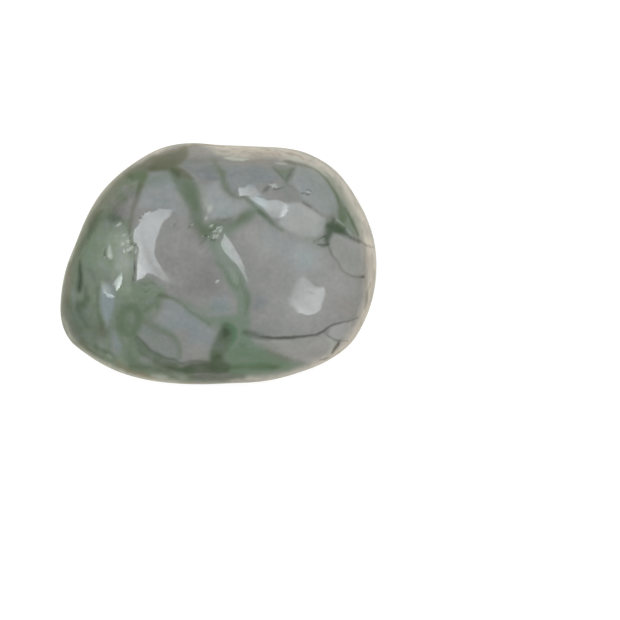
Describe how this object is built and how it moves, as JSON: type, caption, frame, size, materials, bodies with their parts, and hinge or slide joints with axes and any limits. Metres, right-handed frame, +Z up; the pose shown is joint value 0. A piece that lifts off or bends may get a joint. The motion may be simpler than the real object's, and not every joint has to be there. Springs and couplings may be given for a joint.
{
  "type": "tumbled stone",
  "caption": "Small polished pebble of translucent grey agate netted with green veins, with soft worn faces and a flat spot that it rests on.",
  "frame": {"origin": "on the surface that the stone rests on, under the middle of its bounding box", "axes": "+X along the stone's length, +Y across its width, +Z up, out of its best face"},
  "size_m": [0.017, 0.013, 0.0094],
  "materials": {
    "polished_agate": "high polish, translucent grey chalcedony with green veins and hairline cracks"
  },
  "bodies": {
    "root": {"stone": "polished_agate"}
  },
  "joints": []
}
